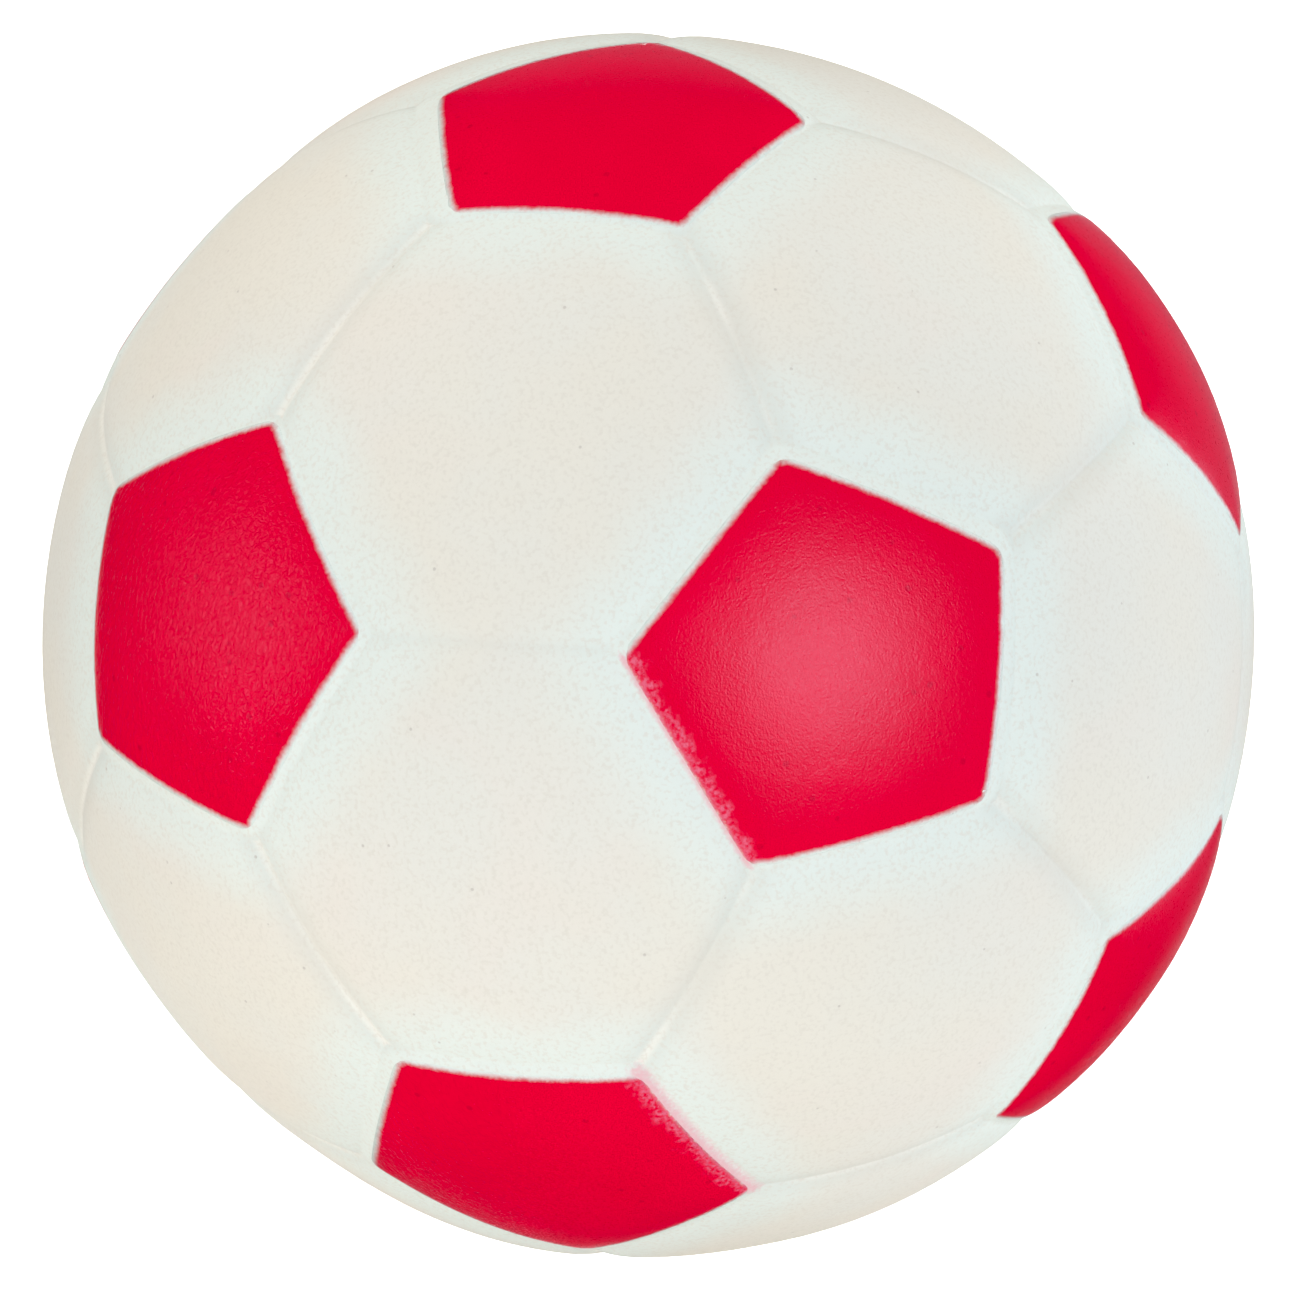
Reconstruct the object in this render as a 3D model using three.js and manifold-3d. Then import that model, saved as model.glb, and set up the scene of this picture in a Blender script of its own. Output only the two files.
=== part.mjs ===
// A dog ball in the pattern of a football: one moulded rubber skin with 12 pentagons and 20 hexagons,
// a coat of red paint on each pentagon, and a reed squeaker that plugs the mould hole under the ball.
// Millimetres, +Z up. The origin is the middle of the flat land around the squeaker, where the ball rests.
import * as THREE from 'three';
import { mergeVertices } from 'three/addons/utils/BufferGeometryUtils.js';
import Module from 'manifold-3d';

const wasm = await Module();
wasm.setup();

// Skin
const ballDiameter = 70;
const wallThickness = 3;
const seamDepth = 0.4; // how far the crease between two panels lies below them
const seamReach = 2.2; // how far from the crease a panel starts to roll down
const panelEdgeSteps = 3; // straight pieces along one edge of a panel
const panelRings = 3; // bands of facets between the rolled edge of a panel and its middle
const cavityDetail = 4;

// Paint
const paintThickness = 0.12;
const paintGap = 0.04;
const paintInset = 0.3; // bare margin between a crease and the coat beside it
const paintLandMargin = 0.8; // bare margin around the land

// Reed and the two halves of the cartridge that hold it
const cartridgeDiameter = 6.2;
const cartridgeLength = 10;
const clampLength = 3;
const reedThickness = 0.2;
const reedWidth = 4.4;
const reedClearance = 0.3;
const reedEndGap = 0.4;
const reedSideRest = 1; // how far each side of the reed reaches over the seat beside the trough
const troughDepth = 1.6;
const troughEndWall = 1.2;
const tipOpening = 0.5; // how far the seat falls away from the reed at its tip

// Squeaker housing
const cartridgeClearance = 0.1;
const housingWall = 1;
const housingEndWall = 1.4;
const housingMouthDepth = 1;
const airHoleDiameter = 2.2;
const flangeThickness = 1.2;
const flangeOverhang = 1.3; // how far the flange stands out past the neck
const barbCatch = 1; // how far the barb stands out past the neck
const barbLength = 3;
const barbLand = 0.6; // straight part of the barb before its taper
const barrelDraft = 0.4; // how far the barrel stands out past the neck
const edgeBreak = 0.3;

// Port in the skin
const seatGap = 0.1;
const portClearance = 0.2;
const flangeRecess = 0.4; // how deep the flange sits below the land
const lipThickness = 2.2;
const collarRise = 2.5; // how far the collar stands up past the lip
const collarWall = 3;
const collarDraft = 0.8;
const landWidth = 1.2;
const roundSteps = 32;

// Sizes that follow from those above
const ballRadius = ballDiameter / 2;
const cartridgeRadius = cartridgeDiameter / 2;
const boreRadius = cartridgeRadius + cartridgeClearance;
const neckRadius = boreRadius + housingWall;
const flangeRadius = neckRadius + flangeOverhang;
const barbRadius = neckRadius + barbCatch;
const barrelRadius = neckRadius + barrelDraft;
const recessRadius = flangeRadius + portClearance;
const landRadius = recessRadius + landWidth;
const centreHeight = Math.sqrt(ballRadius ** 2 - landRadius ** 2);
const lipBottom = flangeRecess + flangeThickness + seatGap;
const lipTop = lipBottom + lipThickness;
const collarTop = lipTop + collarRise;
const collarRadius = barbRadius + portClearance + collarWall;
const shoulderHeight = lipTop + seatGap - flangeRecess;
const cartridgeHeight = housingEndWall + seatGap;
const housingLength = cartridgeHeight + cartridgeLength + housingMouthDepth;
const clampFace = reedThickness / 2 + reedClearance;

const rubber = { color: 0xe8e8e2, roughness: 0.75, metalness: 0 };
const paint = { color: 0xe40034, roughness: 0.6, metalness: 0 };
const plastic = { color: 0xf1efe8, roughness: 0.45, metalness: 0 };
const film = { color: 0xd6dcdf, roughness: 0.3, metalness: 0 };

function makeMesh(name, geometry, finish) {
  geometry.computeVertexNormals();
  const mesh = new THREE.Mesh(geometry, new THREE.MeshStandardMaterial(finish));
  mesh.name = name;
  return mesh;
}

// Shared vertices merged, so that the surface is closed.
function closed(geometry) {
  const bare = geometry.clone();
  bare.deleteAttribute('normal');
  bare.deleteAttribute('uv');
  return mergeVertices(bare, 1e-4);
}

function fromTriangles(points) {
  return closed(new THREE.BufferGeometry().setFromPoints(points));
}

function toSolid(geometry) {
  const { attributes, index } = closed(geometry);
  const vertProperties = new Float32Array(attributes.position.array);
  const triVerts = new Uint32Array(index.array);
  return new wasm.Manifold(new wasm.Mesh({ numProp: 3, vertProperties, triVerts }));
}

function toGeometry(solid) {
  const { vertProperties, triVerts } = solid.getMesh();
  const geometry = new THREE.BufferGeometry();
  geometry.setAttribute('position', new THREE.BufferAttribute(new Float32Array(vertProperties), 3));
  geometry.setIndex(new THREE.BufferAttribute(new Uint32Array(triVerts), 1));
  return geometry;
}

// A solid of revolution about Z from its [radius, height] profile.
function turned(profile) {
  const points = profile.map(([radius, height]) => new THREE.Vector2(radius, height));
  return closed(new THREE.LatheGeometry(points, roundSteps).rotateX(Math.PI / 2));
}

// The pentagons' centres are the corners of an icosahedron that stands on one corner. Azimuth 0 is the
// front, -Y.
function direction(azimuth, latitude) {
  const level = Math.cos(latitude);
  return new THREE.Vector3(level * Math.sin(azimuth), -level * Math.cos(azimuth), Math.sin(latitude));
}

function pentagonCentres() {
  const ringLatitude = Math.atan(0.5);
  const fifthTurn = (2 * Math.PI) / 5;
  const centres = new Map([['top', direction(0, Math.PI / 2)]]);
  for (let place = 0; place < 5; place += 1) {
    centres.set(`upper_${place + 1}`, direction(place * fifthTurn, ringLatitude));
    centres.set(`lower_${place + 1}`, direction((place + 0.5) * fifthTurn, -ringLatitude));
  }
  centres.set('bottom', direction(0, -Math.PI / 2));
  return centres;
}

// Two neighbouring pentagons are one icosahedron edge apart, and a corner of each lies on that edge, a
// third of the way along.
const neighbourCosine = 1 / Math.sqrt(5);
const areNeighbours = (a, b) => Math.abs(a.dot(b) - neighbourCosine) < 1e-6;
const cornerTowards = (a, b) => a.clone().multiplyScalar(2).add(b).normalize();

// Corners in order around a panel's middle, anticlockwise seen from outside.
function makePanel(centre, corners) {
  const across = corners[0].clone().projectOnPlane(centre).normalize();
  const along = centre.clone().cross(across);
  const turn = (corner) => Math.atan2(corner.dot(along), corner.dot(across));
  return { centre, corners: [...corners].sort((a, b) => turn(a) - turn(b)) };
}

function makePentagon(centre, centres) {
  const around = centres.filter((other) => areNeighbours(centre, other));
  return makePanel(centre, around.map((other) => cornerTowards(centre, other)));
}

function makeHexagons(centres) {
  const hexagons = [];
  centres.forEach((a, first) => {
    centres.slice(first + 1).forEach((b, second) => {
      centres.slice(first + second + 2).forEach((c) => {
        if (areNeighbours(a, b) && areNeighbours(b, c) && areNeighbours(c, a)) {
          const pairs = [[a, b], [b, a], [b, c], [c, b], [c, a], [a, c]];
          const middle = a.clone().add(b).add(c).normalize();
          hexagons.push(makePanel(middle, pairs.map(([near, far]) => cornerTowards(near, far))));
        }
      });
    });
  });
  return hexagons;
}

// How far the skin lies below the round of the ball at a distance from the nearest crease.
function seamDrop(distance) {
  const left = Math.max(0, 1 - distance / seamReach);
  return seamDepth * left ** 2;
}

function panelApothem({ centre, corners }) {
  return centre.angleTo(corners[0].clone().add(corners[1]));
}

// Distances from the crease of the rings of points on a panel, with a ring at each extra distance.
function ringDistances(panel, extra = []) {
  const reach = ballRadius * panelApothem(panel);
  const rings = [0, seamReach / 2, ...extra];
  for (let ring = 0; ring < panelRings; ring += 1) {
    rings.push(seamReach + ((reach - seamReach) * ring) / panelRings);
  }
  return rings.sort((a, b) => a - b);
}

// One ring of points parallel to a panel's edges, lifted off the skin.
function ringPoints(panel, distance, lift) {
  const { centre, corners } = panel;
  const apothem = panelApothem(panel);
  const scale = Math.tan(apothem - distance / ballRadius) / Math.tan(apothem);
  const radius = ballRadius - seamDrop(distance) + lift;
  const points = [];
  corners.forEach((corner, side) => {
    const next = corners[(side + 1) % corners.length];
    for (let step = 0; step < panelEdgeSteps; step += 1) {
      const onEdge = corner.clone().lerp(next, step / panelEdgeSteps);
      onEdge.divideScalar(onEdge.dot(centre));
      points.push(centre.clone().lerp(onEdge, scale).setLength(radius));
    }
  });
  return points;
}

// Triangles of a panel's surface, from its outermost ring to its middle.
function panelTriangles(panel, distances, lift) {
  const triangles = [];
  const rings = distances.map((distance) => ringPoints(panel, distance, lift));
  const middle = panel.centre.clone().multiplyScalar(ballRadius + lift);
  rings.forEach((ring, level) => {
    const inner = rings[level + 1];
    ring.forEach((point, at) => {
      const after = (at + 1) % ring.length;
      if (inner) {
        triangles.push(point, ring[after], inner[after], point, inner[after], inner[at]);
      } else {
        triangles.push(point, ring[after], middle);
      }
    });
  });
  return triangles;
}

// A coat over a pentagon: its outer face, the same face turned inwards, and the rim that joins them.
function coatGeometry(panel) {
  const distances = ringDistances(panel, [paintInset]).filter((distance) => distance >= paintInset);
  const outer = panelTriangles(panel, distances, paintGap + paintThickness);
  const inner = panelTriangles(panel, distances, paintGap).reverse();
  const outerEdge = ringPoints(panel, paintInset, paintGap + paintThickness);
  const innerEdge = ringPoints(panel, paintInset, paintGap);
  const rim = innerEdge.flatMap((point, at) => {
    const after = (at + 1) % innerEdge.length;
    return [point, innerEdge[after], outerEdge[after], point, outerEdge[after], outerEdge[at]];
  });
  return fromTriangles([...outer, ...inner, ...rim]);
}

// Skin: the relief outside, a round cavity inside, and a collar with a stepped port under the ball. The
// heights of the port are above the land, and the skin is made about the middle of the ball.
function skinGeometry(pentagons, hexagons) {
  const painted = pentagons.flatMap((panel) => panelTriangles(panel, ringDistances(panel, [paintInset]), 0));
  const plain = hexagons.flatMap((panel) => panelTriangles(panel, ringDistances(panel), 0));
  const outside = toSolid(fromTriangles([...painted, ...plain]));
  const cavity = toSolid(new THREE.IcosahedronGeometry(ballRadius - wallThickness, cavityDetail));
  const collar = turned([
    [0, 0],
    [collarRadius + collarDraft, 0],
    [collarRadius, collarTop],
    [0, collarTop],
  ]);
  const neckHole = neckRadius + portClearance;
  const barbHole = barbRadius + portClearance;
  const port = turned([
    [0, -flangeRecess],
    [recessRadius, -flangeRecess],
    [recessRadius, lipBottom],
    [neckHole, lipBottom],
    [neckHole, lipTop],
    [barbHole, lipTop],
    [barbHole, collarTop + collarRise],
    [0, collarTop + collarRise],
  ]);
  const belowLand = new THREE.BoxGeometry(ballDiameter, ballDiameter, ballRadius);
  belowLand.translate(0, 0, -ballRadius / 2);
  const [collarSolid, portSolid, belowSolid] = [collar, port, belowLand].map((geometry) =>
    toSolid(geometry.translate(0, 0, -centreHeight)));
  const hollow = cavity.subtract(collarSolid);
  return toGeometry(outside.subtract(hollow).subtract(portSolid).subtract(belowSolid));
}

// The coat under the ball stops short of the land.
function bottomCoatGeometry(panel) {
  const holeRadius = landRadius + paintLandMargin;
  const hole = new THREE.CylinderGeometry(holeRadius, holeRadius, ballDiameter, roundSteps);
  hole.rotateX(Math.PI / 2).translate(0, 0, -ballRadius);
  return toGeometry(toSolid(coatGeometry(panel)).subtract(toSolid(hole)));
}

function housingGeometry() {
  const airHoleRadius = airHoleDiameter / 2;
  return turned([
    [airHoleRadius, 0],
    [flangeRadius - edgeBreak, 0],
    [flangeRadius, edgeBreak],
    [flangeRadius, flangeThickness],
    [neckRadius, flangeThickness],
    [neckRadius, shoulderHeight],
    [barbRadius, shoulderHeight],
    [barbRadius, shoulderHeight + barbLand],
    [barrelRadius, shoulderHeight + barbLength],
    [barrelRadius, housingLength - edgeBreak],
    [barrelRadius - edgeBreak, housingLength],
    [boreRadius + edgeBreak, housingLength],
    [boreRadius, housingLength - edgeBreak],
    [boreRadius, housingEndWall],
    [airHoleRadius, housingEndWall],
    [airHoleRadius, 0],
  ]);
}

// Half of the round cartridge, cut off flat at the clamp face on the +Y side.
function halfRound(length) {
  const chordAngle = Math.asin(clampFace / cartridgeRadius);
  const outline = new THREE.Shape();
  outline.absarc(0, 0, cartridgeRadius, chordAngle, Math.PI - chordAngle, false);
  return new THREE.ExtrudeGeometry(outline, {
    depth: length,
    bevelEnabled: false,
    curveSegments: roundSteps / 2,
  });
}

// The seat lies on the -Y side. Past the clamp its face falls away from the reed, and the air trough runs
// from the outlet to a wall at the tip.
function seatGeometry() {
  const body = halfRound(cartridgeLength).rotateZ(Math.PI);
  const fall = new THREE.Shape([
    new THREE.Vector2(-clampFace, clampLength),
    new THREE.Vector2(cartridgeRadius, clampLength),
    new THREE.Vector2(cartridgeRadius, cartridgeLength + tipOpening),
    new THREE.Vector2(-clampFace - tipOpening, cartridgeLength + tipOpening),
    new THREE.Vector2(-clampFace - tipOpening, cartridgeLength),
  ]);
  const relief = new THREE.ExtrudeGeometry(fall, { depth: cartridgeDiameter, bevelEnabled: false });
  relief.applyMatrix4(new THREE.Matrix4().makeBasis(
    new THREE.Vector3(0, 1, 0),
    new THREE.Vector3(0, 0, 1),
    new THREE.Vector3(1, 0, 0),
  ));
  relief.translate(-cartridgeRadius, 0, 0);
  const troughWidth = reedWidth - 2 * reedSideRest;
  const troughLength = cartridgeLength - troughEndWall;
  const trough = new THREE.BoxGeometry(troughWidth, 2 * troughDepth, 2 * troughLength);
  trough.translate(0, -clampFace, 0);
  return toGeometry(toSolid(body).subtract(toSolid(relief)).subtract(toSolid(trough)));
}

// A straight strip with a round tip, in the plane between the two halves.
function reedGeometry() {
  const half = reedWidth / 2;
  const tongue = new THREE.Shape();
  tongue.moveTo(-half, reedEndGap);
  tongue.lineTo(half, reedEndGap);
  tongue.lineTo(half, cartridgeLength - reedEndGap - half);
  tongue.absarc(0, cartridgeLength - reedEndGap - half, half, 0, Math.PI, false);
  const strip = new THREE.ExtrudeGeometry(tongue, {
    depth: reedThickness,
    bevelEnabled: false,
    curveSegments: roundSteps / 2,
  });
  return strip.rotateX(Math.PI / 2).translate(0, reedThickness / 2, 0);
}

const centres = pentagonCentres();
const directions = [...centres.values()];
const pentagons = new Map();
centres.forEach((centre, place) => pentagons.set(place, makePentagon(centre, directions)));

const ball = new THREE.Group();
ball.position.z = centreHeight;
const skin = skinGeometry([...pentagons.values()], makeHexagons(directions));
ball.add(makeMesh('ball_skin', skin, rubber));
pentagons.forEach((panel, place) => {
  const geometry = place === 'bottom' ? bottomCoatGeometry(panel) : coatGeometry(panel);
  ball.add(makeMesh(`paint_${place}`, geometry, paint));
});

const cartridge = new THREE.Group();
cartridge.position.z = cartridgeHeight;
cartridge.add(makeMesh('reed_seat', seatGeometry(), plastic));
cartridge.add(makeMesh('reed_wedge', closed(halfRound(clampLength)), plastic));
cartridge.add(makeMesh('reed', closed(reedGeometry()), film));

const squeaker = new THREE.Group();
squeaker.position.z = flangeRecess;
squeaker.add(makeMesh('squeaker_housing', housingGeometry(), plastic));
squeaker.add(cartridge);

const dogBall = new THREE.Group();
dogBall.add(ball, squeaker);

export default dogBall;
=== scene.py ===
from math import asin, atan2, cos, degrees, pi, radians, sin, sqrt, tan

import bmesh
import bpy
from mathutils import Matrix, Vector, noise


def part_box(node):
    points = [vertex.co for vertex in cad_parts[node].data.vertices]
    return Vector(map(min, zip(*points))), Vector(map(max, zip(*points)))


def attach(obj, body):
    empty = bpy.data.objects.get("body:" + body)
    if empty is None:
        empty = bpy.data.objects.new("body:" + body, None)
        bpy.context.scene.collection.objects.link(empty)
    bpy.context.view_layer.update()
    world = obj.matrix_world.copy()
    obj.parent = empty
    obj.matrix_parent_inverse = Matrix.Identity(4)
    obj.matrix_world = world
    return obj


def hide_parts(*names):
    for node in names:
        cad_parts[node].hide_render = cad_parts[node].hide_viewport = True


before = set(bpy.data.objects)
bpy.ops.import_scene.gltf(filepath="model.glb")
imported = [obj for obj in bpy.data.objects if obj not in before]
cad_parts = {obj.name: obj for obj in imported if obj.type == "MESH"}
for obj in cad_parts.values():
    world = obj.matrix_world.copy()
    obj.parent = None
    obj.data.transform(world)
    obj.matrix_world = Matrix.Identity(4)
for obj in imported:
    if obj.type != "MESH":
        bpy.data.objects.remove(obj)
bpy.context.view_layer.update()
mm = 0.001
cutSnap = 0.002 * mm  # points this near to a cut are put on it
weldReach = 0.001 * mm  # points this near to each other are merged
farOff = 50.0  # mm, where no crease and no edge of paint is near

# The ball's own sizes. The land is the flat ring under the ball, and with the top of the skin it gives the
# ball's radius.
ball = {
    "landRadius": 6.9 * mm,
    "ringCount": 5,  # pentagons in the upper ring, and in the lower one
    "poleHeight": 0.9,  # a direction that rises or drops by more is at the top or bottom pentagon
    "cornerShare": 0.343,  # where a panel's corner lies on the way from one pentagon's middle to the next
}
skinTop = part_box("ball_skin")[1].z
ballRadius = (skinTop ** 2 + ball["landRadius"] ** 2) / (2 * skinTop)
ballCentre = Vector((0, 0, skinTop - ballRadius))
pentagons = {}  # middle of each pentagon, as a direction from the ball's middle


def pentagonName(direction):
    if abs(direction.z) > ball["poleHeight"]:
        return "top" if direction.z > 0 else "bottom"
    count = ball["ringCount"]
    steps = degrees(atan2(direction.x, -direction.y)) / 360 * count
    if direction.z > 0:
        return f"upper_{round(steps) % count + 1}"
    return f"lower_{round(steps - 0.5) % count + 1}"  # the lower ring is half a step on


def pointing(turn, rise):  # the direction this far round from the front and this far up, in degrees
    turn, rise = radians(turn), radians(rise)
    return Vector((sin(turn) * cos(rise), -cos(turn) * cos(rise), sin(rise)))


def squareTo(axis, direction):  # the part of a direction that is square to an axis
    return (direction - axis * axis.dot(direction)).normalized()


def smoothFaces(bm):
    for face in bm.faces:
        face.smooth = True


def makeObject(name, bm, finish):
    mesh = bpy.data.meshes.new(name)
    bm.to_mesh(mesh)
    bm.free()
    made = bpy.data.objects.new(name, mesh)
    bpy.context.collection.objects.link(made)
    mesh.materials.append(finish)
    return made


def makePiece(name, bm, finish, body, nodes):
    piece = makeObject(name, bm, finish)
    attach(piece, body)
    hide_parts(*nodes)
    print("made", name, len(piece.data.polygons), "faces")


# Camera, from the photograph's frame
view = {
    "azimuth": -19.2,
    "elevation": 31.4,
    "lean": -5.7,
    "distanceInRadii": 12.2,
    "frameWidth": 1300,
    "frameHeight": 1297,
    "ballColumn": 649.9,
    "ballRow": 642.3,
    "ballPixels": 609.4,  # radius of the ball's outline
    "sensor": 36.0,
    "clipStart": 0.01,
}


def makeCamera():
    back = pointing(view["azimuth"], view["elevation"])
    facing = back.to_track_quat("Z", "Y").to_matrix() @ Matrix.Rotation(radians(view["lean"]), 3, "Z")
    distance = view["distanceInRadii"] * ballRadius
    focalPixels = view["ballPixels"] * sqrt(view["distanceInRadii"] ** 2 - 1)
    right = view["frameWidth"] / 2 - view["ballColumn"]
    up = view["ballRow"] - view["frameHeight"] / 2
    place = ballCentre + back * distance + facing @ Vector((right, up, 0)) * distance / focalPixels
    camera = bpy.data.objects.new("camera", bpy.data.cameras.new("camera"))
    camera.data.sensor_width = view["sensor"]
    camera.data.lens = view["sensor"] * focalPixels / view["frameWidth"]
    camera.data.clip_start = view["clipStart"]
    camera.matrix_world = Matrix.Translation(place) @ facing.to_4x4()
    bpy.context.collection.objects.link(camera)
    bpy.context.scene.camera = camera
    return facing


cameraFacing = makeCamera()
print("camera set")


def linear(red, green, blue):  # a colour as a screen shows it, 0 to 255
    parts = [part / 255 for part in (red, green, blue)]
    return (*[p / 12.92 if p < 0.04045 else ((p + 0.055) / 1.055) ** 2.4 for p in parts], 1.0)


# Shader sums are written as Python expressions on these.
class Wire:
    def __init__(self, finish, socket):
        self.finish = finish
        self.socket = socket

    def sum(self, operation, first, second):
        return self.finish.node("ShaderNodeMath", {"operation": operation}, {0: first, 1: second})

    def __add__(self, other):
        return self.sum("ADD", self, other)

    def __radd__(self, other):
        return self.sum("ADD", other, self)

    def __sub__(self, other):
        return self.sum("SUBTRACT", self, other)

    def __rsub__(self, other):
        return self.sum("SUBTRACT", other, self)

    def __mul__(self, other):
        return self.sum("MULTIPLY", self, other)

    def __rmul__(self, other):
        return self.sum("MULTIPLY", other, self)

    def __truediv__(self, other):
        return self.sum("DIVIDE", self, other)

    def __rtruediv__(self, other):
        return self.sum("DIVIDE", other, self)


class Finish:
    def __init__(self, name):
        self.material = bpy.data.materials.new(name)
        self.material.use_nodes = True
        self.tree = self.material.node_tree
        self.shader = self.tree.nodes["Principled BSDF"]
        self.place = self.node("ShaderNodeTexCoord", output="Object")

    def node(self, kind, settings=None, sockets=None, output=0):
        made = self.tree.nodes.new(kind)
        for name, value in (settings or {}).items():
            setattr(made, name, value)
        for name, value in (sockets or {}).items():
            self.feed(made.inputs[name], value)
        return Wire(self, made.outputs[output])

    def feed(self, socket, value):
        if isinstance(value, Wire):
            self.tree.links.new(value.socket, socket)
        else:
            socket.default_value = value

    def set(self, **sockets):
        names = {
            "colour": "Base Color",
            "roughness": "Roughness",
            "specular": "Specular IOR Level",
            "sheen": "Sheen Weight",
            "sheenRoughness": "Sheen Roughness",
            "glowColour": "Emission Color",
            "glow": "Emission Strength",
            "normal": "Normal",
        }
        for name, value in sockets.items():
            self.feed(self.shader.inputs[names[name]], value)

    def attribute(self, name):
        return self.node("ShaderNodeAttribute", {"attribute_name": name}, output="Fac")

    def noise(self, size, detail=2.0, rough=0.5, distort=0.0, stretch=1.0):
        place = self.place
        if stretch != 1.0:  # drawn out up and down
            place = self.node("ShaderNodeMapping", {}, {"Vector": place, "Scale": (1, 1, 1 / stretch)})
        sockets = {"Vector": place, "Scale": 1 / size, "Detail": detail}
        sockets.update({"Roughness": rough, "Distortion": distort})
        return self.node("ShaderNodeTexNoise", {}, sockets)

    def wander(self, size, reach):  # noise about zero, up to half of this reach either way
        return reach * self.noise(size) - reach / 2

    def step(self, value, low, high):  # 0 below low, 1 above high, smooth between
        sockets = {"Value": value, "From Min": low, "From Max": high}
        return self.node("ShaderNodeMapRange", {"interpolation_type": "SMOOTHSTEP"}, sockets)

    def fade(self, value, low, high):  # 1 below low, 0 above high
        return 1 - self.step(value, low, high)

    def mix(self, factor, first, second):  # each colour is a wire, or as a screen shows it
        first, second = [tone if isinstance(tone, Wire) else linear(*tone) for tone in (first, second)]
        sockets = {0: factor, 6: first, 7: second}  # the node's own numbers for its colour sockets
        return self.node("ShaderNodeMix", {"data_type": "RGBA"}, sockets, output=2)

    def dots(self, spacing, size, share, core=0.5, pickSoft=0.02):  # sparse round specks: 1 in a speck
        sockets = {"Vector": self.place, "Scale": 1 / spacing}
        distance = self.node("ShaderNodeTexVoronoi", {}, sockets, output="Distance")
        pick = Wire(self, distance.socket.node.outputs["Color"])
        chosen = self.node("ShaderNodeSeparateColor", {}, {"Color": pick})
        near = self.fade(distance, core * size / spacing, size / spacing)
        return near * self.step(chosen, 1 - share, 1 - share + pickSoft)

    def bump(self, height, depth):
        return self.node("ShaderNodeBump", {}, {"Strength": 1.0, "Distance": depth, "Height": height})


# Skin and paint share the leathery grain, so that it runs on under the paint.
grain = {
    "peel": {"size": 0.26 * mm, "detail": 3.0, "rough": 0.6, "distort": 1.0, "stretch": 2.4},
    "peelShare": 0.35,
    "wrinkleShare": 1.5,  # added to it where the skin is wrinkled
    "fine": {"size": 0.13 * mm, "detail": 1.0},
    "fineShare": 0.4,
    "wave": {"size": 3.0 * mm, "distort": 0.3},
    "waveShare": 1.0,
    "wrinkleStart": 12.0 * mm,  # the skin is more wrinkled on the left of the ball, from here to the left
    "wrinkleFull": 24.0 * mm,
    "pinholeSpacing": 1.1 * mm,
    "speckSize": 0.22 * mm,  # specks of the sprayed paint
}


def wrinkled(finish):  # 0 where the skin is smooth, 1 where it is wrinkled
    across = finish.node("ShaderNodeSeparateXYZ", {}, {"Vector": finish.place})
    return finish.step(0 - across, grain["wrinkleStart"], grain["wrinkleFull"])


def grainHeight(finish):
    peel = grain["peelShare"] + grain["wrinkleShare"] * wrinkled(finish)
    height = finish.noise(**grain["peel"]) * peel + grain["fineShare"] * finish.noise(**grain["fine"])
    return height + grain["waveShare"] * finish.noise(**grain["wave"])


# White rubber. Starts, reaches and widths are mm from a crease or edge. A wander is the size of its waves
# and how far they swing in all, a range is the noise's values from none to all, and a tint is the strength
# of a colour.
rubber = {
    "warm": (235, 231, 220),
    "pale": (233, 232, 224),
    "patch": {"size": 12.0 * mm, "detail": 3.0},
    "patchRange": (0.35, 0.65),
    "blush": (236, 229, 220),
    "blushPatch": {"size": 16.0 * mm, "detail": 3.0, "distort": 0.5},
    "blushRange": (0.5, 0.72),
    "blushTint": 0.7,
    "cool": (231, 240, 235),  # around the pentagons
    "coolWander": (5.0 * mm, 3.0),
    "coolStart": 0.5,
    "coolReach": 5.4,
    "coolTint": 0.85,
    "hollow": (214, 215, 208),  # painted shade along the creases between hexagons
    "hollowWander": (1.5 * mm, 0.8),
    "hollowStart": 0.1,
    "hollowReach": 1.9,
    "hollowTint": 0.32,
    "paintedHighlight": (248, 246, 238),  # painted highlight: a pale line along their bottom
    "paintedHighlightWidth": 0.5,
    "paintedHighlightTint": 0.7,
    "creaseFade": {"size": 9.0 * mm, "detail": 3.0},
    "paintedHighlightRange": (0.4, 0.75),
    "paintedHighlightWrinkle": 0.2,  # more of the painted highlight where the skin is wrinkled
    "fleck": (222, 217, 206),
    "fleckSize": 0.24 * mm,
    "fleckRange": (0.46, 0.72),
    "fleckTint": 0.45,
    "pinhole": (190, 182, 174),
    "pinholeSize": 0.12 * mm,
    "pinholeShare": 0.12,
    "pinholeTint": 0.5,
    "pinholeDepth": 0.8,  # as a share of the grain's
    "mist": (238, 152, 170),  # paint that strayed past its mask
    "mistSwing": 0.9,  # as a share of its drift
    "mistTint": 0.6,
    "roughness": 0.6,
    "roughWander": (0.8 * mm, 0.12),
    "specular": 0.4,
    "grainDepth": 0.03 * mm,
}


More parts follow.
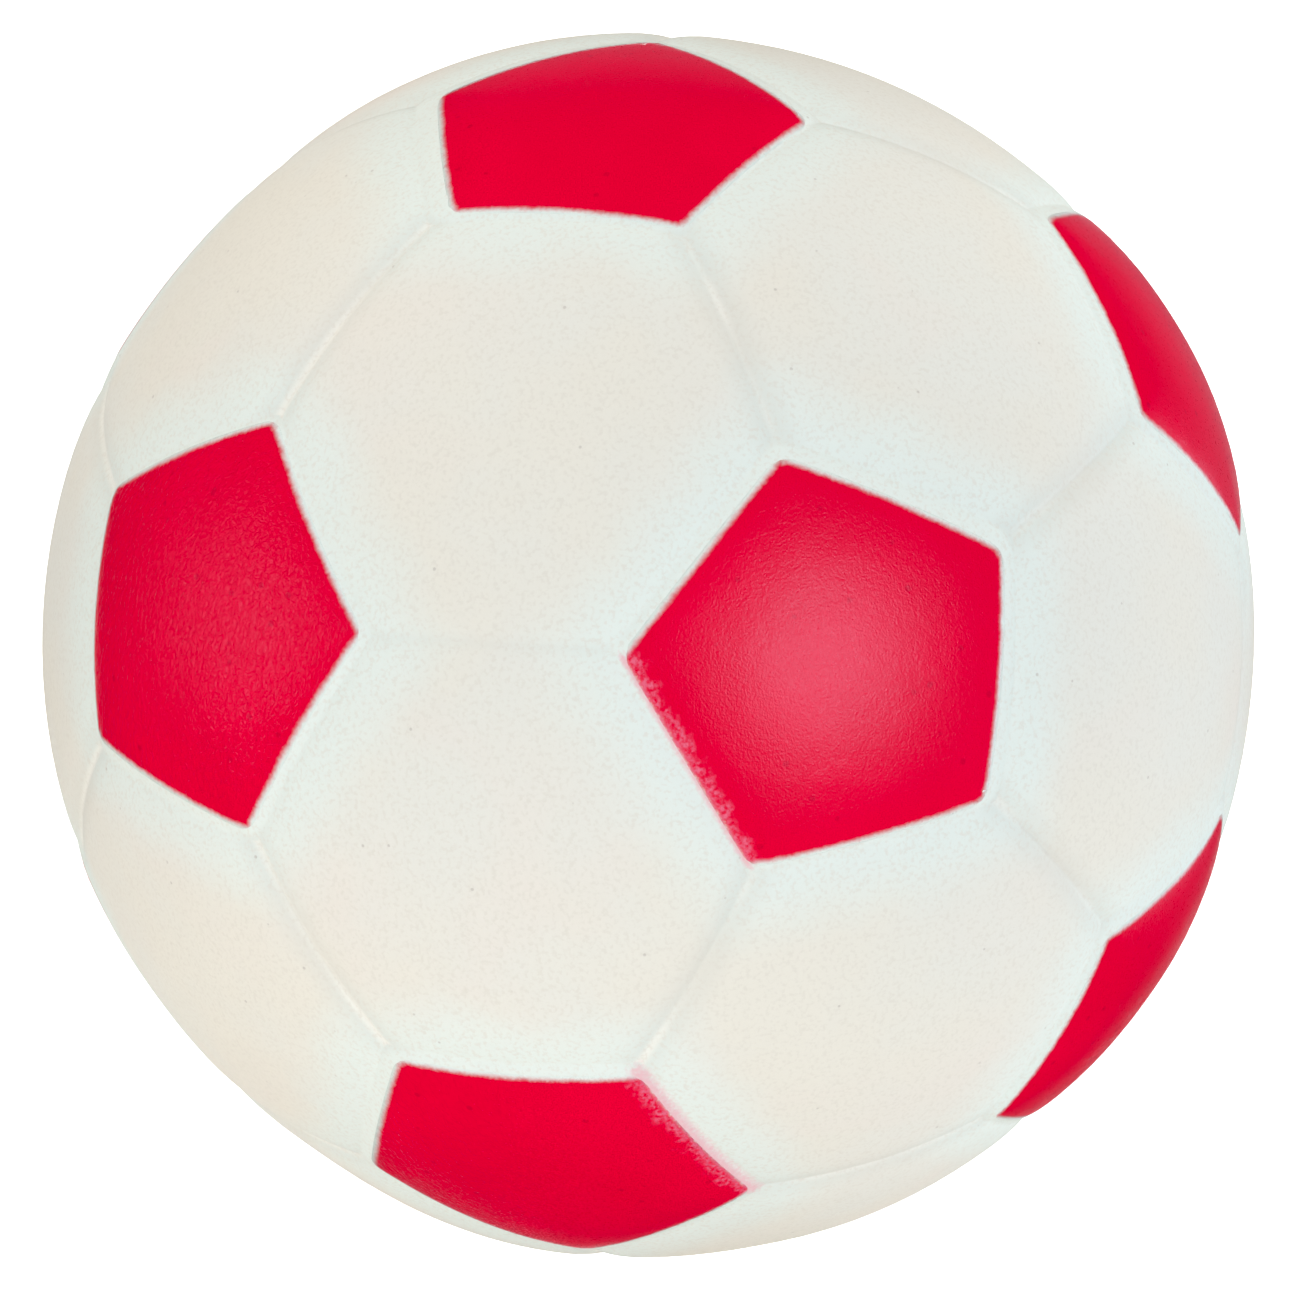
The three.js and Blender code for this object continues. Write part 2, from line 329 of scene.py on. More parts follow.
def rubberFinish():
    finish = Finish("whiteRubber")
    crease = finish.attribute("crease")
    patch = finish.step(finish.noise(**rubber["patch"]), *rubber["patchRange"])
    tone = finish.mix(patch, rubber["warm"], rubber["pale"])
    blush = finish.step(finish.noise(**rubber["blushPatch"]), *rubber["blushRange"])
    tone = finish.mix(rubber["blushTint"] * blush, tone, rubber["blush"])
    outside = finish.attribute("rim") + finish.wander(*rubber["coolWander"])
    cool = finish.fade(outside, rubber["coolStart"], rubber["coolReach"])
    tone = finish.mix(rubber["coolTint"] * cool, tone, rubber["cool"])
    # painted shade: the rubber is darkened along the creases between hexagons, where shade falls in the
    # groove
    away = crease + finish.wander(*rubber["hollowWander"])
    hollow = finish.fade(away, rubber["hollowStart"], rubber["hollowReach"])
    tone = finish.mix(rubber["hollowTint"] * hollow, tone, rubber["hollow"])
    # painted highlight: a pale line along the bottom of each crease stands in for its lit edge, broken up by
    # noise
    paintedHighlight = finish.fade(crease, 0, rubber["paintedHighlightWidth"])
    creaseFade = finish.noise(**rubber["creaseFade"]) + rubber["paintedHighlightWrinkle"] * wrinkled(finish)
    paintedHighlight = paintedHighlight * finish.step(creaseFade, *rubber["paintedHighlightRange"])
    tone = finish.mix(rubber["paintedHighlightTint"] * paintedHighlight, tone, rubber["paintedHighlight"])
    fleck = finish.step(finish.noise(rubber["fleckSize"]), *rubber["fleckRange"])
    tone = finish.mix(rubber["fleckTint"] * fleck, tone, rubber["fleck"])
    holes = finish.dots(grain["pinholeSpacing"], rubber["pinholeSize"], rubber["pinholeShare"])
    tone = finish.mix(rubber["pinholeTint"] * holes, tone, rubber["pinhole"])
    spray = finish.attribute("spray") + finish.wander(grain["speckSize"], rubber["mistSwing"])
    tone = finish.mix(rubber["mistTint"] * finish.fade(spray, 0, 1), tone, rubber["mist"])
    rough = rubber["roughness"] + finish.wander(*rubber["roughWander"])
    height = grainHeight(finish) - rubber["pinholeDepth"] * holes
    bumps = finish.bump(height, rubber["grainDepth"])
    finish.set(colour=tone, roughness=rough, specular=rubber["specular"], normal=bumps)
    return finish.material


# Red paint, with the same kinds of values
paint = {
    "red": (237, 0, 54),
    "deep": (233, 0, 51),
    "cloud": {"size": 6.0 * mm, "detail": 3.0},
    "cloudRange": (0.35, 0.7),
    "pinhole": (204, 0, 46),
    "pinholeSize": 0.24 * mm,
    "pinholeShare": 0.2,
    "pinholeTint": 0.6,
    "rippleSize": 0.6 * mm,  # waves of the coat's edge
    "rippleReach": 0.18,
    "waveSize": 2.5 * mm,
    "waveReach": 0.12,
    "pool": (205, 0, 44),  # thicker paint along the mask
    "poolStart": 0.12,
    "poolReach": 0.4,
    "poolTint": 0.6,
    "thin": (236, 108, 134),  # thin coat inside a loose side of the mask
    "thinWander": (0.9 * mm, 2.0),
    "thinStart": 0.3,
    "thinReach": 1.1,
    "thinSpecks": (0.3, 0.7),
    "edgeSoft": 0.45,  # mm over which the coat ends, where the mask was tight
    "edgeSpecks": 0.4,
    "edgeRange": (-0.1, 1.0),
    "looseSoft": 0.5,  # the same, where it was loose
    "looseSpecks": 1.2,
    "looseRange": (-0.3, 0.7),
    "roughness": 0.31,
    "roughWander": (0.15 * mm, 0.24),
    "wrinkleGloss": 0.1,  # less rough where the skin is wrinkled
    "specular": 0.6,
    "sheen": 0.4,  # pale bloom at a grazing angle
    "sheenRoughness": 0.15,
    "grainDepth": 0.045 * mm,
}


def paintFinish():
    finish = Finish("redPaint")
    speck = finish.noise(grain["speckSize"])
    ripple = paint["rippleReach"] * finish.noise(paint["rippleSize"])
    wave = ripple + paint["waveReach"] * finish.noise(paint["waveSize"])
    loose = finish.attribute("loose")
    edge = finish.attribute("edge") - wave
    cloud = finish.step(finish.noise(**paint["cloud"]), *paint["cloudRange"])
    tone = finish.mix(cloud, paint["deep"], paint["red"])
    holes = finish.dots(grain["pinholeSpacing"], paint["pinholeSize"], paint["pinholeShare"])
    tone = finish.mix(paint["pinholeTint"] * holes, tone, paint["pinhole"])
    pool = finish.fade(edge, paint["poolStart"], paint["poolReach"])
    tone = finish.mix(paint["poolTint"] * pool, tone, paint["pool"])
    thin = finish.fade(loose + finish.wander(*paint["thinWander"]), paint["thinStart"], paint["thinReach"])
    tone = finish.mix(thin * finish.step(speck, *paint["thinSpecks"]), tone, paint["thin"])
    cover = finish.step(edge / paint["edgeSoft"] + paint["edgeSpecks"] * speck, *paint["edgeRange"])
    ragged = (loose - wave) / paint["looseSoft"] + paint["looseSpecks"] * speck
    cover = cover * finish.step(ragged, *paint["looseRange"])
    tone = finish.mix(cover, rubber["cool"], tone)
    rough = paint["roughness"] + finish.wander(*paint["roughWander"])
    rough = rough - paint["wrinkleGloss"] * wrinkled(finish)
    bumps = finish.bump(grainHeight(finish), paint["grainDepth"])
    finish.set(colour=tone, roughness=rough, specular=paint["specular"], normal=bumps)
    finish.set(sheen=paint["sheen"], sheenRoughness=paint["sheenRoughness"])
    return finish.material


# The squeaker's white plastic and the reed's film
plastic = {
    "cream": (236, 232, 220),
    "white": (246, 244, 236),
    "cloud": {"size": 4.0 * mm, "detail": 3.0},
    "scuff": {"size": 0.5 * mm, "detail": 3.0, "rough": 0.6},
    "roughness": 0.34,
    "scuffRoughness": 0.2,
    "scuffDepth": 0.01 * mm,
}
film = {
    "dark": (206, 214, 218),
    "light": (224, 230, 232),
    "streak": {"size": 0.7 * mm, "detail": 4.0, "rough": 0.6},
    "roughness": 0.2,
    "streakRoughness": 0.12,
    "streakDepth": 0.004 * mm,
}


def plasticFinish():
    finish = Finish("whitePlastic")
    tone = finish.mix(finish.noise(**plastic["cloud"]), plastic["cream"], plastic["white"])
    scuff = finish.noise(**plastic["scuff"])
    rough = plastic["roughness"] + plastic["scuffRoughness"] * scuff
    finish.set(colour=tone, roughness=rough, normal=finish.bump(scuff, plastic["scuffDepth"]))
    return finish.material


def filmFinish():
    finish = Finish("reedFilm")
    streak = finish.noise(**film["streak"])
    tone = finish.mix(streak, film["dark"], film["light"])
    rough = film["roughness"] + film["streakRoughness"] * streak
    finish.set(colour=tone, roughness=rough, normal=finish.bump(streak, film["streakDepth"]))
    return finish.material


finishes = {
    "rubber": rubberFinish(),
    "paint": paintFinish(),
    "plastic": plasticFinish(),
    "film": filmFinish(),
}
print("finishes made")


# The moulded relief: the creases, the swell of the panels and what isn't quite round
relief = {
    "seamDepth": 0.25 * mm,  # a panel's edge rolls down by this towards the crease
    "seamReach": 2.2 * mm,  # where it starts to
    "lineDepth": 0.1 * mm,  # narrow groove along the crease
    "lineReach": 0.65 * mm,
    "seamRound": 0.07 * mm,  # softness of the crease's bottom
    "pentagonSeam": 0.6,  # creases round the pentagons are shallower than those between hexagons
    "faintSeams": [{"upper_1", "upper_5"}],  # worn nearly flat, between these pentagons
    "faintSeam": 0.45,
    "crownDrop": 0.1 * mm,  # swell of a whole panel
    "crownReach": 7.0 * mm,
    "pentagonRise": 0.16 * mm,  # the pentagons stand proud and the hexagons lie a little low
    "hexagonDrop": 0.08 * mm,
    "unevenHeight": 0.04 * mm,  # unevenness of the moulding
    "unevenSize": 16.0 * mm,
    "lumpReach": 24.0,  # degrees
    "lumps": [  # turn from the front and rise in degrees, height in mm: the soft skin isn't quite round
        (82, 23, 0.2),
        (175, 61, 0.2),
        (-134, 40, -0.4),
        (-104, -24, -0.08),
        (-47, -51, 0.55),
        (-1, -53, 0.3),
        (61, -10, -0.25),
    ],
}


# Distance outside the nearest pentagon (below zero in it) and from the nearest crease between two hexagons,
# in metres along the ball, and how deep that crease is: 1 is full. The three nearest pentagons hold the
# point in one triangle of the pattern.
def patternPlace(direction):
    first, second, third = sorted(pentagons.values(), key=direction.dot, reverse=True)[:3]
    share = ball["cornerShare"]
    side = first.lerp(second, share).cross(first.lerp(third, share)).normalized()
    rim = asin(direction.dot(side) * (-1 if side.dot(first) > 0 else 1)) * ballRadius
    between = abs(asin(direction.dot(first.cross(second).normalized()))) * ballRadius
    pair = {pentagonName(first), pentagonName(second)}
    return rim, between, relief["faintSeam"] if pair in relief["faintSeams"] else 1.0


def lumpHeight(direction):
    total = relief["unevenHeight"] * noise.noise(direction * ballRadius / relief["unevenSize"])
    for turn, rise, height in relief["lumps"]:
        away = degrees(direction.angle(pointing(turn, rise))) / relief["lumpReach"]
        total += height * mm * max(0, 1 - away ** 2) ** 2
    return total


def seamProfile(distance):  # depth of a crease between hexagons, at this distance from its line
    eased = sqrt(distance ** 2 + relief["seamRound"] ** 2) - relief["seamRound"]
    roll = relief["seamDepth"] * max(0, 1 - eased / relief["seamReach"]) ** 2
    return roll + relief["lineDepth"] * max(0, 1 - eased / relief["lineReach"]) ** 2


def surfaceHeight(direction, rim, between, share):
    around = relief["pentagonSeam"] * seamProfile(abs(rim))
    seam = max(around, share * seamProfile(between))
    if rim < 0:  # the creases between hexagons end at the pentagon's corners
        deepest = max(relief["pentagonSeam"], share * seamProfile(between) / seamProfile(0))
        seam = deepest * seamProfile(rim)
    crease = -rim if rim < 0 else min(rim, between)
    slope = max(0, 1 - crease / relief["crownReach"]) ** 2
    swell = relief["pentagonRise"] if rim < 0 else -relief["hexagonDrop"]
    if rim < 0 and direction.z < -ball["poleHeight"]:
        swell = 0  # the panel around the port is flatter, for the ball to rest on
    return ballRadius - seam - relief["crownDrop"] * slope + swell * (1 - slope) + lumpHeight(direction)


# The mask of each coat of paint: how far it slipped to the right and up in mm, its turn and the angle from
# its middle to a corner in degrees, and the side where it was loose.
mask = {
    "slips": {
        "top": (0.2, -1.0, -0.5, 18.8),
        "upper_1": (-0.4, -0.3, -0.6, 19.5),
        "upper_2": (-0.1, 0.1, 1.3, 19.2),
        "upper_3": (0.2, 0.2, -0.5, 19.3),
        "upper_4": (-0.8, 0.1, 0.0, 18.1),
        "upper_5": (0.0, 0.2, -0.7, 19.9),
        "lower_1": (-0.1, -0.1, 1.6, 19.3),
        "lower_2": (0.1, -0.2, 0.5, 19.3),
        "lower_3": (-0.2, 0.2, 0.0, 19.2),
        "lower_4": (-0.8, 0.0, -0.5, 18.5),
        "lower_5": (0.2, 0.0, -0.4, 19.4),
        "bottom": (0.0, 0.0, 0.0, 19.3),
    },
    "looseSides": {"upper_1": {"upper_5", "lower_5"}, "lower_5": {"upper_1", "lower_1"}},
    "drift": {"upper_1": 0.35, "lower_5": 0.9},  # how far paint strayed past them, mm
    "cornerRound": 1.5 * mm,
    "cornerAngle": 108.0,
    "cornerCuts": (-24, -8, 8, 24),  # degrees from the corner's middle, of the cuts that round it
}


def maskAxes(place):
    middle = pentagons[place]
    up = Vector((0, 0, 1)) if abs(middle.z) < ball["poleHeight"] else Vector((0, 1, 0))
    right = up.cross(middle).normalized()
    return right, middle.cross(right)


# Corners of a mask as directions, by the neighbour that each one points to, anticlockwise seen from outside.
def maskCorners(place):
    middle = pentagons[place]
    right, up = maskAxes(place)
    slipRight, slipUp, twist, spread = mask["slips"][place]
    shift = (right * slipRight + up * slipUp) * mm / ballRadius
    around = [other for other in pentagons if other != place and middle.dot(pentagons[other]) > 0]
    corners = {}
    for other in sorted(around, key=lambda name: atan2(pentagons[name].dot(up), pentagons[name].dot(right))):
        outward = Matrix.Rotation(radians(twist), 3, middle) @ squareTo(middle, pentagons[other])
        corners[other] = (middle + outward * tan(radians(spread)) + shift).normalized()
    return corners


def maskSides(place):
    corners = maskCorners(place)
    names = list(corners)
    sides = {}
    for name, following in zip(names, names[1:] + names[:1]):
        sides[(name, following)] = corners[name].cross(corners[following]).normalized()  # points inwards
    return sides


def looseSide(place):
    return next((side for side in maskSides(place) if set(side) == mask["looseSides"].get(place)), None)


def looseEnds():  # both ends of each loose side, with its drift
    ends = []
    for place, drift in mask["drift"].items():
        corners = maskCorners(place)
        ends.append((*[corners[name] for name in looseSide(place)], drift))
    return ends


# Distance from the loose sides of the masks, for the paint that strayed past them: 1 where it ends.
def sprayDistance(direction, ends):
    found = farOff
    for start, end, drift in ends:
        inward = start.cross(end).normalized()
        onSide = squareTo(inward, direction)
        within = start.cross(onSide).dot(inward) > 0 and onSide.cross(end).dot(inward) > 0
        nearestEnd = min(direction.angle(start), direction.angle(end))
        reach = abs(asin(direction.dot(inward))) if within else nearestEnd
        found = min(found, reach * ballRadius / mm / drift)
    return found


# The moulded surface: an icosahedron with its corners cut off, rings of faces along every crease, all pushed
# out to the round of the ball.
panel = {
    "turn": -18.0,  # degrees, puts one corner of the upper ring in front
    "seamLoops": [0.1 * mm, 0.14 * mm, 0.2 * mm, 0.28 * mm, 0.38 * mm, 0.5 * mm, 0.65 * mm],
    "fieldLoops": {5: 5, 6: 7},  # by the number of sides
    "fieldLoop": 1.0 * mm,
    "edgeCuts": 21,
    "paintedCreaseFade": 3.0,  # how fast a crease's painted shade and painted highlight end inside a pentagon
}


def cutPanels():
    bm = bmesh.new()
    bmesh.ops.create_icosphere(bm, subdivisions=1, radius=ballRadius)
    turn = Matrix.Rotation(radians(panel["turn"]), 3, "Z")
    bmesh.ops.rotate(bm, verts=bm.verts, cent=(0, 0, 0), matrix=turn)
    for vert in bm.verts:
        pentagons[pentagonName(vert.co.normalized())] = vert.co.normalized()
    bmesh.ops.bevel(
        bm, geom=bm.verts[:], offset=100 * ball["cornerShare"], offset_type="PERCENT", affect="VERTICES",
        segments=1, profile=0.5, material=-1, clamp_overlap=False,
    )
    return bm


def ringPanels(bm):
    spokes = set()
    for sides, loops in panel["fieldLoops"].items():
        faces = [face for face in bm.faces if len(face.verts) == sides]
        for width in panel["seamLoops"] + [panel["fieldLoop"]] * loops:
            made = bmesh.ops.inset_individual(bm, faces=faces, thickness=width, use_even_offset=True)
            inner = {vert for face in faces for vert in face.verts}
            rim = {edge for face in made["faces"] for edge in face.edges}
            spokes.update(edge for edge in rim if len(inner.intersection(edge.verts)) == 1)
        hub = bmesh.ops.poke(bm, faces=faces)
        spokes.update(edge for vert in hub["verts"] for edge in vert.link_edges)
    along = [edge for edge in bm.edges if edge not in spokes]
    bmesh.ops.subdivide_edges(bm, edges=along, cuts=panel["edgeCuts"], use_grid_fill=True)
    bmesh.ops.poke(bm, faces=[face for face in bm.faces if len(face.verts) > 4])


def pushOut(bm):
    rimLayer = bm.verts.layers.float.new("rim")
    creaseLayer = bm.verts.layers.float.new("crease")
    sprayLayer = bm.verts.layers.float.new("spray")
    ends = looseEnds()
    for vert in bm.verts:
        direction = vert.co.normalized()
        rim, between, share = patternPlace(direction)
        creaseFade = (1 - share) * rubber["hollowReach"]  # a faint crease gets less painted shade and painted highlight
        vert[rimLayer] = rim / mm
        # the crease attribute places the painted shade and the painted highlight along the creases
        vert[creaseLayer] = (between + panel["paintedCreaseFade"] * max(0, -rim)) / mm + creaseFade
        vert[sprayLayer] = sprayDistance(direction, ends)
        vert.co = ballCentre + direction * surfaceHeight(direction, rim, between, share)
    smoothFaces(bm)


panels = cutPanels()
ringPanels(panels)
pushOut(panels)
print("panels made", len(panels.verts), "points", sorted(pentagons))


# One coat of paint: the skin's own surface cut along the mask, lifted by its thickness, with a thin edge.
coat = {
    "margin": 27.0,  # degrees from its middle, of the surface that it is cut from
    "lift": 0.02 * mm,
    "feather": 0.35,  # mm over which it thins out to its edge
    "root": 0.06 * mm,  # from its face down to its back, which lies in the skin
    "landRise": 0.15 * mm,  # the coat under the ball ends at this height, round the land
    "landSlope": 0.22,  # rise of the ball's underside there
}


def cutOff(bm, point, outward):
    everything = bm.verts[:] + bm.edges[:] + bm.faces[:]
    bmesh.ops.bisect_plane(
        bm, geom=everything, dist=cutSnap, plane_co=point, plane_no=outward, clear_outer=True
    )


def cutCoat(place):
    middle = pentagons[place]
    bm = panels.copy()
    limit = cos(radians(coat["margin"]))
    outlying = [vert for vert in bm.verts if (vert.co - ballCentre).normalized().dot(middle) < limit]
    bmesh.ops.delete(bm, geom=outlying, context="VERTS")
    for inward in maskSides(place).values():
        cutOff(bm, ballCentre, -inward)
    if place == "bottom":
        cutOff(bm, (0, 0, coat["landRise"]), (0, 0, -1))
    reach = mask["cornerRound"] / sin(radians(mask["cornerAngle"] / 2))
    for corner in maskCorners(place).values():
        outward = squareTo(middle, corner)
        hub = ballCentre + corner * ballRadius - outward * reach
        for swing in mask["cornerCuts"]:
            facing = Matrix.Rotation(radians(swing), 3, middle) @ outward
            cutOff(bm, hub + facing * mask["cornerRound"], facing)
    return bm


def liftCoat(bm, place):
    edgeLayer = bm.verts.layers.float.new("edge")
    looseLayer = bm.verts.layers.float.new("loose")
    sides = maskSides(place)
    loose = looseSide(place)
    for vert in bm.verts:
        direction = (vert.co - ballCentre).normalized()
        depths = {side: asin(direction.dot(inward)) * ballRadius / mm for side, inward in sides.items()}
        vert[looseLayer] = depths.pop(loose) if loose else farOff
        if place == "bottom":
            depths["land"] = (vert.co.z - coat["landRise"]) / coat["landSlope"] / mm
        vert[edgeLayer] = min(depths.values())
        rise = min(1, max(0, min(vert[edgeLayer], vert[looseLayer])) / coat["feather"])
        vert.co += direction * coat["lift"] * rise


def closeCoat(bm):
    made = bmesh.ops.extrude_face_region(bm, geom=bm.faces[:], use_keep_orig=True)
    for vert in (item for item in made["geom"] if isinstance(item, bmesh.types.BMVert)):
        vert.co += (ballCentre - vert.co).normalized() * coat["root"]
    bmesh.ops.recalc_face_normals(bm, faces=bm.faces[:])
    smoothFaces(bm)


def makeCoats():
    for place in pentagons:
        bm = cutCoat(place)
        liftCoat(bm, place)
        closeCoat(bm)
        makePiece(f"coat_{place}", bm, finishes["paint"], "ball", [f"paint_{place}"])


makeCoats()


# The port under the ball: the land, the recess for the flange, the lip behind it and the collar inside.
port = {
    "recessRadius": 5.7 * mm,
    "recessChamfer": 0.25 * mm,
    "lipBottom": 1.7 * mm,
    "lipTop": 3.9 * mm,
    "lipRadius": 4.4 * mm,
    "barbRadius": 5.4 * mm,
    "collarTop": 6.4 * mm,
    "collarRadius": 8.4 * mm,
    "collarFoot": 8.9 * mm,
    "wall": 3.0 * mm,
    "turns": 96,
    "arcSteps": 28,
    "flatReach": 0.01 * mm,  # faces with no corner higher than this are the land
    "sharpAngle": 30.0,  # degrees
}


def spinProfile(bm, profile, turns, closed):
    verts = [bm.verts.new((radius, 0, height)) for radius, height in profile]
    pairs = list(zip(verts, verts[1:])) + ([(verts[-1], verts[0])] if closed else [])
    edges = [bm.edges.new(pair) for pair in pairs]
    bmesh.ops.spin(
        bm, geom=verts + edges, cent=(0, 0, 0), axis=(0, 0, 1), angle=2 * pi, steps=turns, use_merge=True
    )


def portProfile():  # radius and height, from the inner edge of the land up into the ball
    return [
        (port["recessRadius"] + port["recessChamfer"], 0),
        (port["recessRadius"], port["recessChamfer"]),
        (port["recessRadius"], port["lipBottom"]),
        (port["lipRadius"], port["lipBottom"]),
        (port["lipRadius"], port["lipTop"]),
        (port["barbRadius"], port["lipTop"]),
        (port["barbRadius"], port["collarTop"]),
        (port["collarRadius"], port["collarTop"]),
    ]


def cavityProfile():
    radius = ballRadius - port["wall"]
    foot = -sqrt(radius ** 2 - port["collarFoot"] ** 2)
    low = asin(foot / radius)
    steps = port["arcSteps"]
    lifts = [low + (pi / 2 - low) * step / steps for step in range(steps + 1)]
    return [(radius * cos(lift), ballCentre.z + radius * sin(lift)) for lift in lifts]


def makeSkin():
    bm = panels.copy()
    cutOff(bm, (0, 0, 0), (0, 0, -1))
    outside = set(bm.verts)
    landEdges = [edge for edge in bm.edges if edge.is_boundary]
    spinProfile(bm, portProfile() + cavityProfile(), port["turns"], False)
    liner = [vert for vert in bm.verts if vert not in outside]
    bmesh.ops.remove_doubles(bm, verts=liner, dist=weldReach)
    liner = [vert for vert in bm.verts if vert not in outside]
    for name in ("rim", "crease", "spray"):
        layer = bm.verts.layers.float[name]
        for vert in liner:
            vert[layer] = farOff
    mouth = [edge for edge in bm.edges if edge.is_boundary and edge not in landEdges]
    bmesh.ops.bridge_loops(bm, edges=landEdges + mouth)
    bmesh.ops.recalc_face_normals(bm, faces=bm.faces[:])
    for face in bm.faces:
        face.smooth = not all(abs(vert.co.z) < port["flatReach"] for vert in face.verts)
    sharp = radians(port["sharpAngle"])
    for edge in bm.edges:
        edge.smooth = edge.verts[0] in outside or edge.calc_face_angle(0) <= sharp
    makePiece("skin", bm, finishes["rubber"], "ball", ["ball_skin"])


makeSkin()
panels.free()


# The squeaker's housing, seen in its recess under the ball: radii in mm, and heights in mm above the face of
# its flange.
housing = {
    "holeRadius": 1.1,
    "holeChamfer": 0.25,
    "grooveInner": 2.6,
    "grooveOuter": 4.25,
    "grooveDepth": 0.15,
    "flangeRadius": 5.5,
    "flangeTop": 1.2,
    "neckRadius": 4.2,
    "barbBottom": 3.6,
    "barbTop": 4.2,
    "barbRadius": 5.2,
    "barrelBottom": 6.6,
    "barrelTop": 12.5,
    "barrelRadius": 4.6,
    "boreBottom": 1.4,
    "boreRadius": 3.2,
    "boreChamfer": 0.3,
    "edgeRound": 0.3,
    "edgeSteps": 2,
    "turns": 96,
    "sharpAngle": 35.0,  # degrees
}


# Quarter of a circle about this point, from this angle in degrees, to the nearest 0.01 mm
def roundEdge(radius, height, start):
    size, steps = housing["edgeRound"], housing["edgeSteps"]
    turns = [radians(start + 90 * step / steps) for step in range(steps + 1)]
    return [(round(radius + size * cos(turn), 2), round(height + size * sin(turn), 2)) for turn in turns]


def housingProfile():
    hole, chamfer = housing["holeRadius"], housing["holeChamfer"]
    inner, outer, depth = housing["grooveInner"], housing["grooveOuter"], housing["grooveDepth"]
    flange, barrel, top = housing["flangeRadius"], housing["barrelRadius"], housing["barrelTop"]
    bore, mouth, rounding = housing["boreRadius"], housing["boreChamfer"], housing["edgeRound"]
    return [
        (hole, chamfer),
        (hole + chamfer, 0),
        (inner, 0),
        (inner + depth, depth),
        (outer - depth, depth),
        (outer, 0),
        *roundEdge(flange - rounding, rounding, -90),
        (flange, housing["flangeTop"]),
        (housing["neckRadius"], housing["flangeTop"]),
        (housing["neckRadius"], housing["barbBottom"]),
        (housing["barbRadius"], housing["barbBottom"]),
        (housing["barbRadius"], housing["barbTop"]),
        (barrel, housing["barrelBottom"]),
        *roundEdge(barrel - rounding, top - rounding, 0),
        (bore + mouth, top),
        (bore, top - mouth),
        (bore, housing["boreBottom"]),
        (hole, housing["boreBottom"]),
    ]


def makeHousing():
    low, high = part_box("squeaker_housing")
    scale = high.x / housing["flangeRadius"]
    profile = [(radius * scale, low.z + height * mm) for radius, height in housingProfile()]
    bm = bmesh.new()
    spinProfile(bm, profile, housing["turns"], True)
    bmesh.ops.remove_doubles(bm, verts=bm.verts[:], dist=weldReach)
    bmesh.ops.recalc_face_normals(bm, faces=bm.faces[:])
    smoothFaces(bm)
    for edge in bm.edges:
        edge.smooth = edge.calc_face_angle(0) < radians(housing["sharpAngle"])
    makePiece("housing", bm, finishes["plastic"], "ball", ["squeaker_housing"])


makeHousing()
for node, finish in {"reed_seat": "plastic", "reed_wedge": "plastic", "reed": "film"}.items():
    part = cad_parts[node]
    part.data.materials.clear()
    part.data.materials.append(finishes[finish])
print("squeaker made")


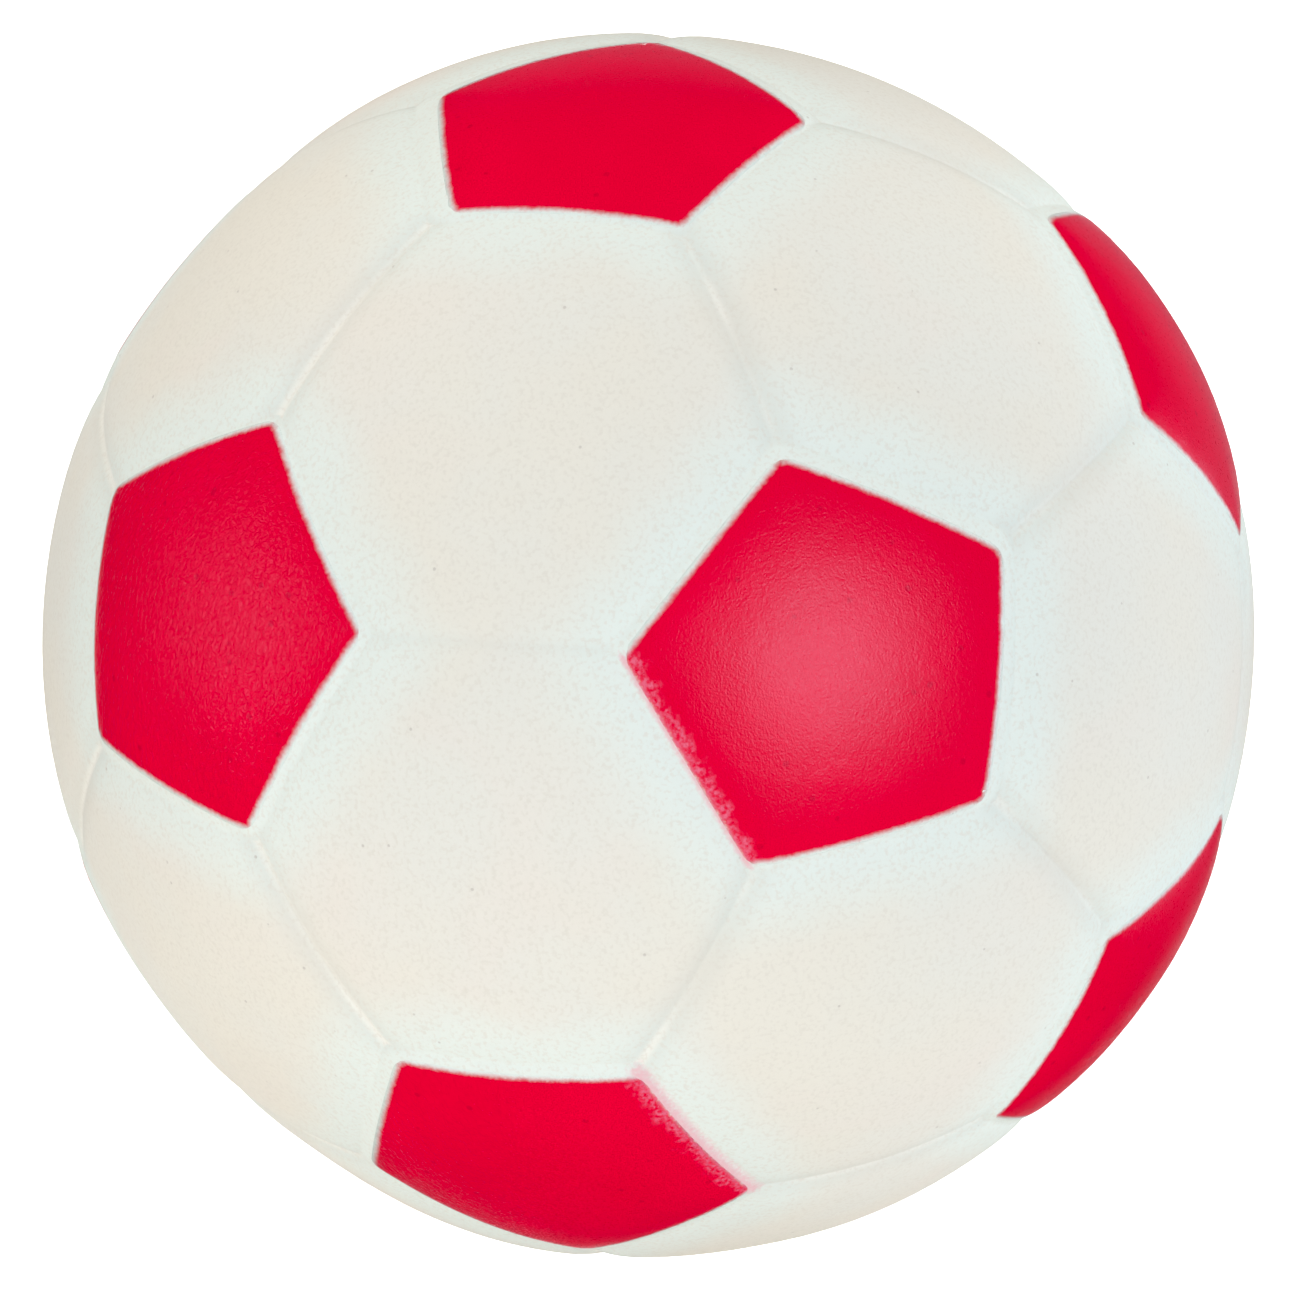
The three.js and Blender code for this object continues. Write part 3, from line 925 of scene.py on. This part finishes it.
# Pale floor that glows like a light table, and soft studio light from all around. The fills light the ball
# and give no shine; the shines give the soft highlights on the paint.
studio = {
    "floorSize": 3.0,
    "floorCells": 4,
    "floorColour": (0.9, 0.9, 0.9, 1.0),
    "floorRoughness": 0.9,
    "floorGlow": 1.0,
    "white": (1.0, 1.0, 1.0, 1.0),
    "black": (0.0, 0.008, 0.0),  # the photograph's deep, saturated red
    "lampDistance": 0.8,
    "fillTint": (1.04, 1.0, 0.94),
    "shineTint": (0.75, 0.93, 1.14),
    "fills": {  # right, up and towards the camera; spread in degrees; brightness
        "frontLeft": ((-0.5, 0.18, 0.84), 18, 2.5),
        "frontRight": ((0.3, 0.12, 0.94), 18, 3.75),
        "lowerLeft": ((-0.62, -0.62, 0.5), 22, 1.1),
        "upperRight": ((0.6, 0.6, 0.4), 22, 0.55),
        "lower": ((-0.12, -0.86, 0.5), 22, 1.0),
        "topRim": ((0, 0.98, -0.2), 22, 4.1),
        "leftRim": ((-0.98, 0.1, -0.2), 22, 3.4),
        "lowerLeftRim": ((-0.69, -0.69, -0.2), 22, 0.1),
        "lowerRim": ((0, -0.98, -0.2), 22, 3.9),
        "rightRim": ((0.93, -0.05, -0.36), 22, 3.5),
        "behind": ((0, 0, -1), 38, 1.4),
    },
    "shines": {
        "rightShine": ((0.5, -0.05, 0.86), 18, 2.9),
        "leftShine": ((-0.96, 0.05, 0.26), 16, 1.25),
        "topShine": ((0, 0.62, -0.78), 14, 0.14),
        "upperShine": ((0.4, 0.27, -0.88), 15, 0.16),
        "limbShine": ((0.9, -0.05, -0.43), 16, 2.0),
    },
}


def makeFloor():
    cells = studio["floorCells"]
    bm = bmesh.new()
    bmesh.ops.create_grid(bm, x_segments=cells, y_segments=cells, size=studio["floorSize"])
    finish = Finish("paleFloor")
    finish.set(colour=studio["floorColour"], roughness=studio["floorRoughness"], specular=0.0)
    finish.set(glowColour=studio["white"], glow=studio["floorGlow"])
    floor = makeObject("floor", bm, finish.material)
    floor.visible_diffuse = False
    floor.visible_glossy = False
    floor.visible_shadow = False  # the lower lamps shine through it


def makeWorld():
    world = bpy.data.worlds.new("studio")
    world.use_nodes = True
    world.node_tree.nodes["Background"].inputs["Color"].default_value = studio["white"]
    world.cycles_visibility.diffuse = False
    world.cycles_visibility.glossy = False
    bpy.context.scene.world = world


def makeLamp(name, side, spread, brightness, shiny):
    towards = (cameraFacing @ Vector(side)).normalized()
    radius = studio["lampDistance"] * tan(radians(spread))
    light = bpy.data.lights.new(name, "AREA")
    light.shape = "DISK"
    light.size = 2 * radius
    light.energy = brightness * pi * pi * radius ** 2  # brightness times pi times the disk's area
    light.color = studio["shineTint" if shiny else "fillTint"]
    light.cycles.use_multiple_importance_sampling = shiny
    lamp = bpy.data.objects.new(name, light)
    lamp.matrix_world = Matrix.Translation(ballCentre + towards * studio["lampDistance"]) @ (
        towards.to_track_quat("Z", "Y").to_matrix().to_4x4()
    )
    lamp.visible_glossy = shiny
    bpy.context.collection.objects.link(lamp)


def makeLamps():
    for shiny, lamps in ((False, studio["fills"]), (True, studio["shines"])):
        for name, (side, spread, brightness) in lamps.items():
            makeLamp(name, side, spread, brightness, shiny)


def setPicture():
    picture = bpy.context.scene.view_settings
    picture.view_transform = "Standard"
    picture.use_curve_mapping = True
    picture.curve_mapping.black_level = studio["black"]


makeFloor()
makeWorld()
makeLamps()
setPicture()
print("studio made")
